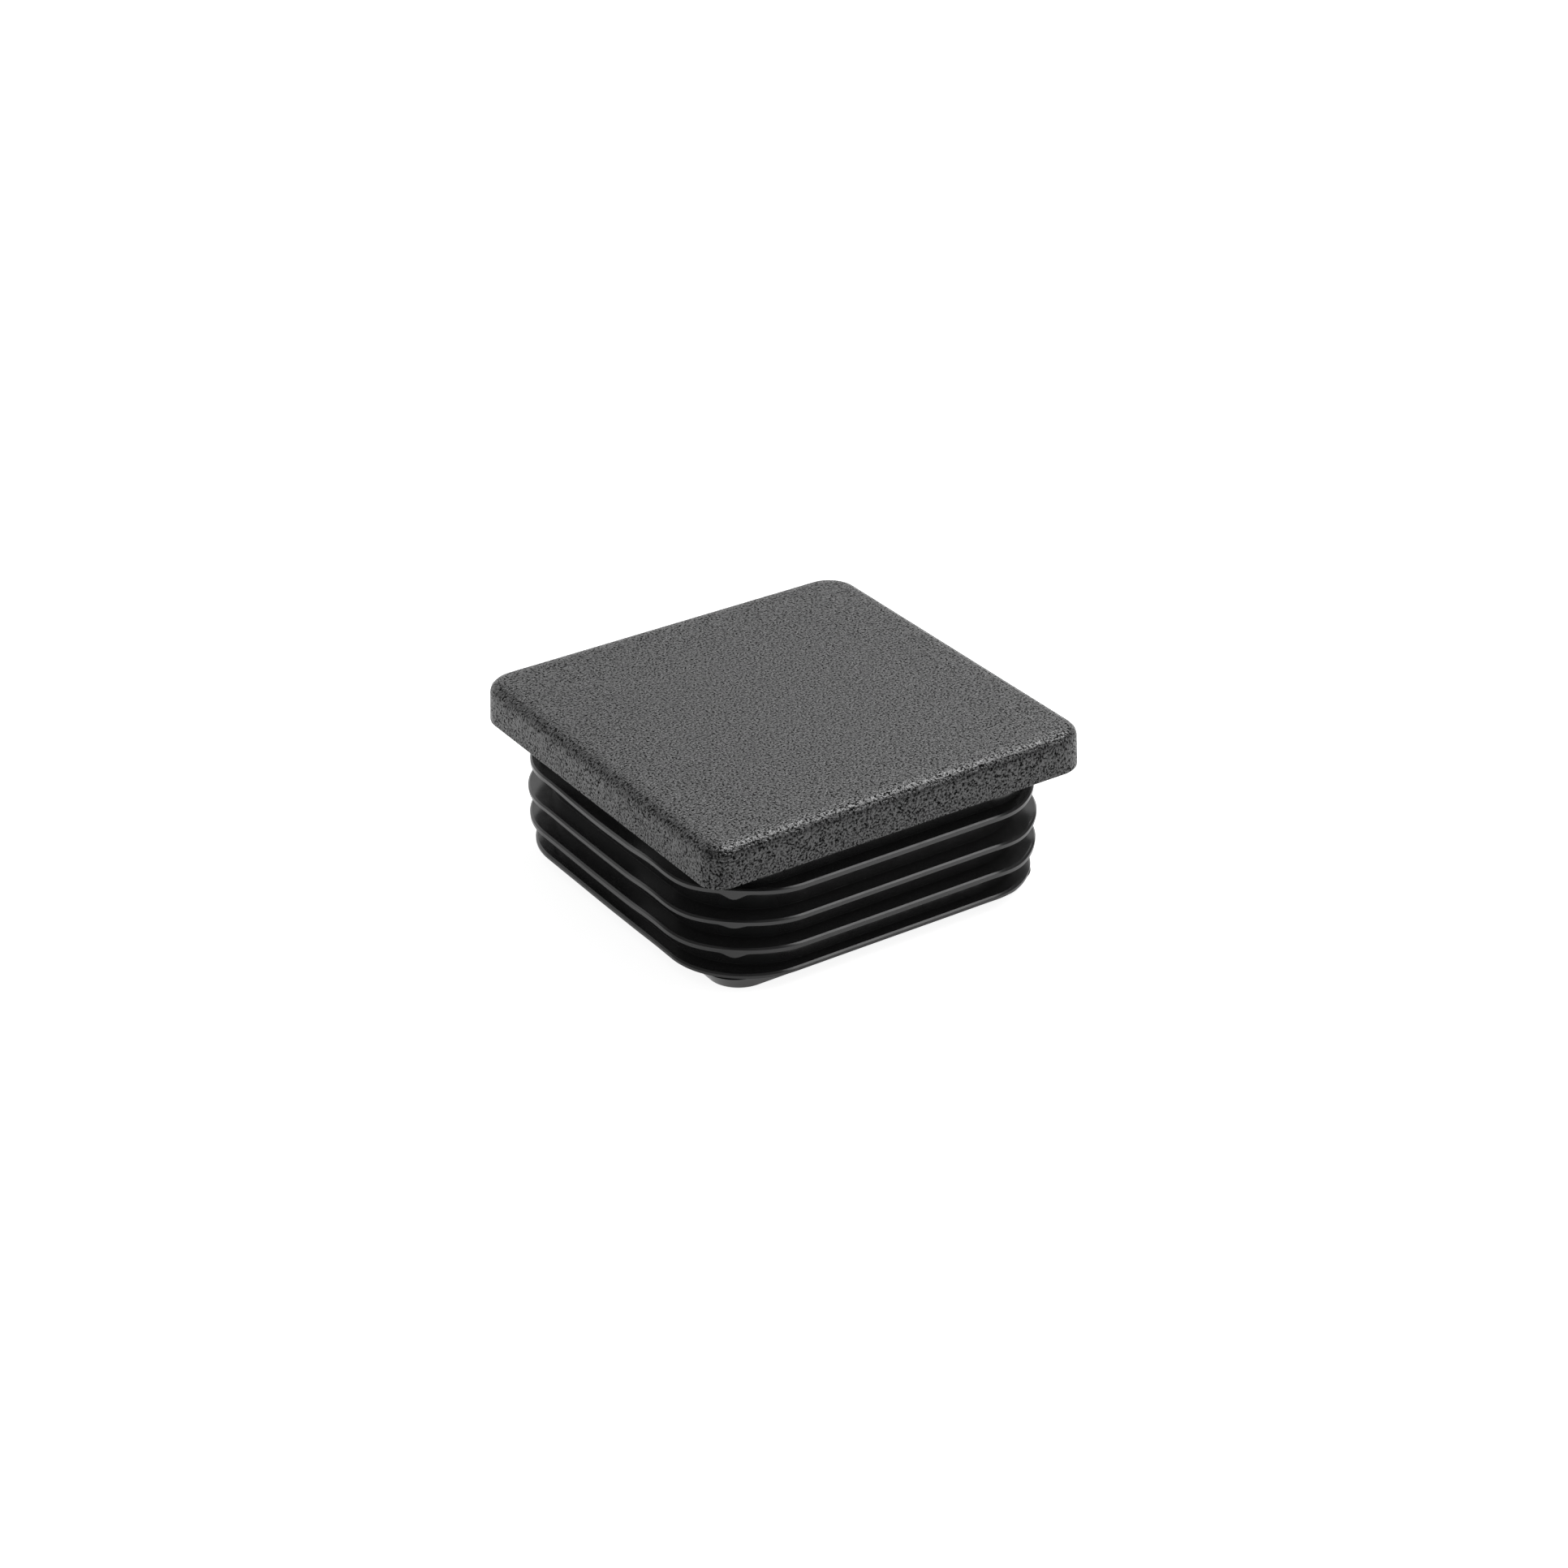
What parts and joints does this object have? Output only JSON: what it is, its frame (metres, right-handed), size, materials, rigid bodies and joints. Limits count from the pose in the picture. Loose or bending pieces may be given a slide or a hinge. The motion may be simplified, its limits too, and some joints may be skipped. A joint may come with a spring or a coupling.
{
  "type": "square tube end cap",
  "caption": "Square ribbed plastic end cap: a flat grained head with rounded corners on a short hollow stem ringed by thin fins that grip the inside of a square tube.",
  "frame": {"origin": "centre of the stem's open end face, on which the cap stands", "axes": "+Z from the stem's end to the top of the head; X and Y square to the head's sides"},
  "size_m": [0.05, 0.05, 0.0208],
  "materials": {
    "black_polyethylene": "spark-eroded grain on the head, smooth satin on the stem and fins"
  },
  "bodies": {
    "root": {"end_cap": "black_polyethylene"}
  },
  "joints": []
}
